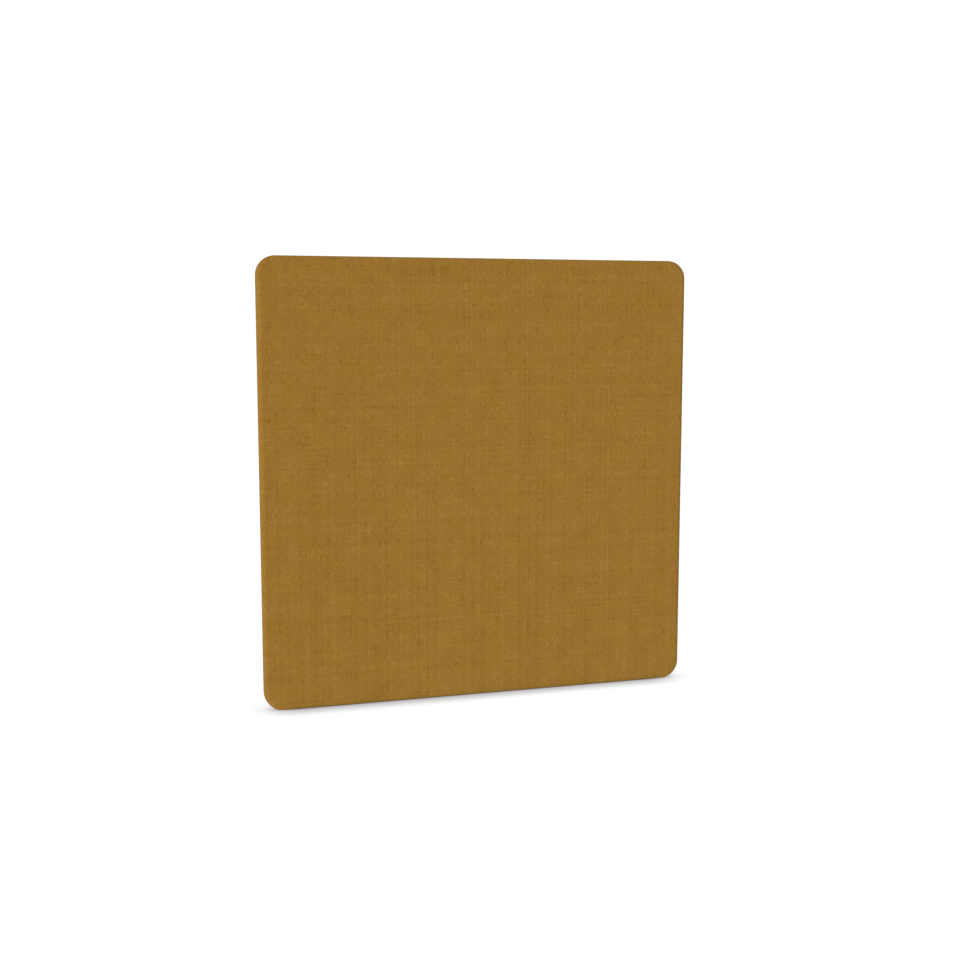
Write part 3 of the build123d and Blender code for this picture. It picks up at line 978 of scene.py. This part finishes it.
for side_name, x in (("left", -glide_x), ("right", glide_x)):
    stem = glide_stem(f"threaded_stem_{side_name}", x)
    # crisp edges between the hexagon's flats, which meet at 60 degrees
    stem.data.set_sharp_from_angle(angle=math.radians(55))
    stem.data.materials.append(zinc)
    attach(stem, f"{side_name}_glide_stem")
    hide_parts(f"{side_name}_glide_stem")
dress(["left_glide_pad", "right_glide_pad"], moulded_nylon())


# ---- Studio ----
# A plain pale floor and a white surround, with soft light from the left and the camera
# at the photograph's viewing angle.

def pale_floor():
    """Matt white floor that glows. For the camera its own white glow fills in the open
    floor, and an ambient-occlusion node darkens that glow by what stands within 70 mm, so
    a painted contact shadow stays along the lower edge. The painted shadow gets half as
    deep between 500 and 600 mm from the middle, painted light that stands for light getting
    in under the rounded corners. The glow that the floor sends back to the screen is even,
    but for the last few centimetres in the shadow, where it is darkened as painted shade,
    so the lower edge of the cloth is darker. What it loses there goes with the square of
    the share that the shadow takes, and is all of it where that square is 0.8."""
    shadow_reach, open_white, even_light, all_lost = 0.07, 0.93, 0.69, 0.8
    material, tree, surface = new_material("white_floor_painted_shadow")
    near = add(tree, "AmbientOcclusion", {"Distance": shadow_reach}, samples=16)
    # painted contact shadow: the ambient occlusion darkens the floor's own glow
    shade = add(tree, "Math", {0: near.outputs["AO"], 1: 1.2}, operation="POWER")
    place = add(tree, "SeparateXYZ", {0: add(tree, "TexCoord").outputs["Object"]})
    off_middle = add(tree, "Math", {0: place.outputs[0]}, operation="ABSOLUTE")
    # painted light: the painted shadow is halved past 500 mm from the middle, towards the corners
    painted_corner_light = add(
        tree, "MapRange", {0: off_middle.outputs[0], 1: 0.5, 2: 0.6, 3: 0.0, 4: 0.5},
        interpolation_type="SMOOTHSTEP",
    )
    painted_shadow = add(tree, "Mix", {0: painted_corner_light.outputs[0], 2: shade.outputs[0], 3: 1.0}, data_type="FLOAT")
    fill = add(tree, "Math", {0: painted_shadow.outputs[0], 1: open_white}, operation="MULTIPLY")
    glow = add(tree, "Emission", {"Color": [1, 1, 1, 1], "Strength": fill.outputs[0]})
    # the paint sends back a sixth of the light, so the lamps hardly show on it
    paint = add(tree, "BsdfDiffuse", {"Color": [0.15, 0.16, 0.18, 1]})
    white = add(tree, "AddShader", {0: glow.outputs[0], 1: paint.outputs[0]})
    # painted shade: the glow sent back to the screen is darkened within the shadow
    hidden = add(tree, "Math", {0: 1.0, 1: painted_shadow.outputs[0]}, operation="SUBTRACT")
    deep = add(tree, "Math", {0: hidden.outputs[0], 1: 2.0}, operation="POWER")
    painted_bounce = add(tree, "MapRange", {0: deep.outputs[0], 2: all_lost, 3: even_light, 4: 0.0})
    sent_back = add(tree, "Emission", {"Color": [1, 1, 1, 1], "Strength": painted_bounce.outputs[0]})
    path = add(tree, "LightPath")
    seen = add(
        tree, "MixShader",
        {0: path.outputs["Is Camera Ray"], 1: sent_back.outputs[0], 2: white.outputs[0]},
    )
    tree.links.new(seen.outputs[0], surface)
    return material


floor_mesh = bpy.data.meshes.new("studio_floor")
floor_corners = [(-60, -60, 0), (60, -60, 0), (60, 60, 0), (-60, 60, 0)]
floor_mesh.from_pydata(floor_corners, [], [(0, 1, 2, 3)])
floor_mesh.materials.append(pale_floor())
floor = bpy.data.objects.new("studio_floor", floor_mesh)
bpy.context.scene.collection.objects.link(floor)
# the softboxes reach below the floor's level, which would cut them off
floor.visible_shadow = False

world = bpy.data.worlds.new("studio_surround")
world.use_nodes = True
world.node_tree.nodes.clear()
surround = world.node_tree
path = add(surround, "LightPath")
# a little over white where the camera or a reflection sees it, and dimmer as a light
looks = path.outputs["Is Camera Ray"]
for ray in ("Is Glossy Ray", "Is Transmission Ray"):
    seen = add(surround, "Math", {0: looks, 1: path.outputs[ray]}, operation="MAXIMUM")
    looks = seen.outputs[0]
level = add(surround, "MapRange", {0: looks, 3: 0.66, 4: 1.06})
background = add(surround, "Background", {"Color": [1, 1, 1, 1], "Strength": level.outputs[0]})
add(surround, "OutputWorld", {"Surface": background.outputs[0]})
bpy.context.scene.world = world

# a softbox to the left of the camera and a weaker one behind the screen, each 30
# degrees wide, by strength, height and turn
for lamp_name, strength, height_deg, turn_deg in (
    ("left_softbox", 0.55, 2, -53.5), ("rear_softbox", 0.22, 12, 180),
):
    lamp = bpy.data.lights.new(lamp_name, "SUN")
    lamp.energy, lamp.angle = strength * math.pi, math.radians(30)
    softbox = bpy.data.objects.new(lamp_name, lamp)
    softbox.rotation_euler = (math.radians(90 - height_deg), 0, math.radians(turn_deg))
    bpy.context.scene.collection.objects.link(softbox)

focal_px, frame_px, sensor_mm = 1289.3, 960, 36
yaw, pitch = math.radians(16.742), math.radians(6.981)
lens = bpy.data.cameras.new("camera")
lens.sensor_width, lens.lens = sensor_mm, focal_px / frame_px * sensor_mm
camera = bpy.data.objects.new("camera", lens)
camera.location = (-1.0122, -3.3706, 1.0300)
camera.rotation_euler = (math.pi / 2 - pitch, 0, -yaw)
bpy.context.scene.collection.objects.link(camera)
bpy.context.scene.camera = camera
bpy.context.scene.view_settings.view_transform = "Standard"
